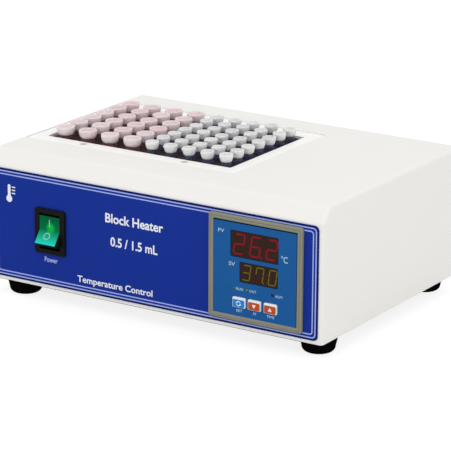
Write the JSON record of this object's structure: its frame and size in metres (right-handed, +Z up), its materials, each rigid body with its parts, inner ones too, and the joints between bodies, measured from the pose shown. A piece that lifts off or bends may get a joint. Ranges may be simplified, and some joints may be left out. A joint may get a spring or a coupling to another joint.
{
  "type": "dry block heater",
  "caption": "Benchtop dry block heater with lift-out drilled aluminium tube blocks in a framed top well, a digital temperature controller, a lit rocker switch and a rear mains inlet.",
  "frame": {"origin": "on the bench, under the middle of the object's overall box", "axes": "+X to the right seen from the front, +Y from the front panel to the rear, +Z up"},
  "size_m": [0.2686, 0.1966, 0.1038],
  "materials": {
    "white_paint": "satin powder coat",
    "zinc_steel": "zinc plated",
    "blue_film": "satin printed film",
    "black_plastic": "fine texture",
    "beige_plastic": "fine texture",
    "face_print": "printed film",
    "display_window": "tinted, polished",
    "lamp_lens": "polished",
    "green_lens": "translucent, lit from inside",
    "azure_key": "satin",
    "orange_key": "satin",
    "aluminium": "as cast",
    "block_aluminium": "dark anodised",
    "rubber": "matte",
    "silicone": "matte",
    "ceramic_wool": "matte fibre",
    "circuit_green": "solder resist",
    "fuse_glass": "clear",
    "brass": "satin",
    "cable_jacket": "matte"
  },
  "bodies": {
    "casing": {"upper_housing": "white_paint", "base_plate": "zinc_steel", "rear_panel": "white_paint", "front_overlay": "blue_film", "well_frame": "white_paint", "well_frame_screw_1": "zinc_steel", "well_frame_screw_2": "zinc_steel", "well_frame_screw_3": "zinc_steel", "well_frame_screw_4": "zinc_steel", "rear_panel_screw_1": "zinc_steel", "rear_panel_screw_2": "zinc_steel", "rear_panel_screw_3": "zinc_steel", "rear_panel_screw_4": "zinc_steel", "inlet_screw_1": "zinc_steel", "inlet_screw_2": "zinc_steel", "foot_front_left": "rubber", "foot_front_right": "rubber", "foot_rear_left": "rubber", "foot_rear_right": "rubber", "foot_screw_front_left": "zinc_steel", "foot_screw_front_right": "zinc_steel", "foot_screw_rear_left": "zinc_steel", "foot_screw_rear_right": "zinc_steel", "heating_tray": "aluminium", "heater_mat": "silicone", "heater_clamp_plate": "zinc_steel", "insulation_jacket": "ceramic_wool", "tray_bracket_left": "zinc_steel", "tray_bracket_right": "zinc_steel", "temperature_probe": "zinc_steel", "thermal_cutout": "black_plastic", "controller_bezel": "beige_plastic", "controller_face": "face_print", "controller_case": "black_plastic", "controller_circuit_board": "circuit_green", "controller_clamp": "black_plastic", "pv_display": "display_window", "sv_display": "display_window", "run_lamp": "lamp_lens", "output_lamp": "lamp_lens", "alarm_lamp": "lamp_lens", "switch_body": "black_plastic", "power_inlet": "black_plastic", "inlet_pin_live": "brass", "inlet_pin_neutral": "brass", "inlet_pin_earth": "brass", "solid_state_relay": "black_plastic", "earth_stud": "brass", "heater_lead": "silicone", "mains_lead": "cable_jacket"},
    "block_1_5ml": {"heating_block_1_5ml": "block_aluminium"},
    "block_0_5ml": {"heating_block_0_5ml": "block_aluminium"},
    "rocker": {"switch_rocker": "green_lens"},
    "contact": {"switch_contact": "brass"},
    "set_key": {"set_button": "azure_key"},
    "down_key": {"down_button": "orange_key"},
    "up_key": {"up_button": "orange_key"},
    "fuse_carrier": {"fuse_drawer": "black_plastic", "fuse": "fuse_glass"}
  },
  "joints": [
    {"name": "block_1_5ml_lift", "type": "slide", "parent": "casing", "child": "block_1_5ml", "axis": [0, 0, 1], "range_m": [0, 0.052]},
    {"name": "block_0_5ml_lift", "type": "slide", "parent": "casing", "child": "block_0_5ml", "axis": [0, 0, 1], "range_m": [0, 0.052]},
    {"name": "rocker_tilt", "type": "hinge", "parent": "casing", "child": "rocker", "pos_m": [-0.0818, -0.08956, 0.0524], "axis": [1, 0, 0], "range_deg": [0, 35.5]},
    {"name": "contact_tilt", "type": "hinge", "parent": "casing", "child": "contact", "pos_m": [-0.0818, -0.07906, 0.0524], "axis": [1, 0, 0], "range_deg": [-8, 0]},
    {"name": "set_press", "type": "slide", "parent": "casing", "child": "set_key", "axis": [0, 1, 0], "range_m": [0, 0.0007]},
    {"name": "down_press", "type": "slide", "parent": "casing", "child": "down_key", "axis": [0, 1, 0], "range_m": [0, 0.0007]},
    {"name": "up_press", "type": "slide", "parent": "casing", "child": "up_key", "axis": [0, 1, 0], "range_m": [0, 0.0007]},
    {"name": "fuse_drawer_pull", "type": "slide", "parent": "casing", "child": "fuse_carrier", "axis": [0, 1, 0], "range_m": [0, 0.024]}
  ],
  "couplings": [
    {"joint": "contact_tilt", "follows": "rocker_tilt", "ratio": -0.169}
  ]
}
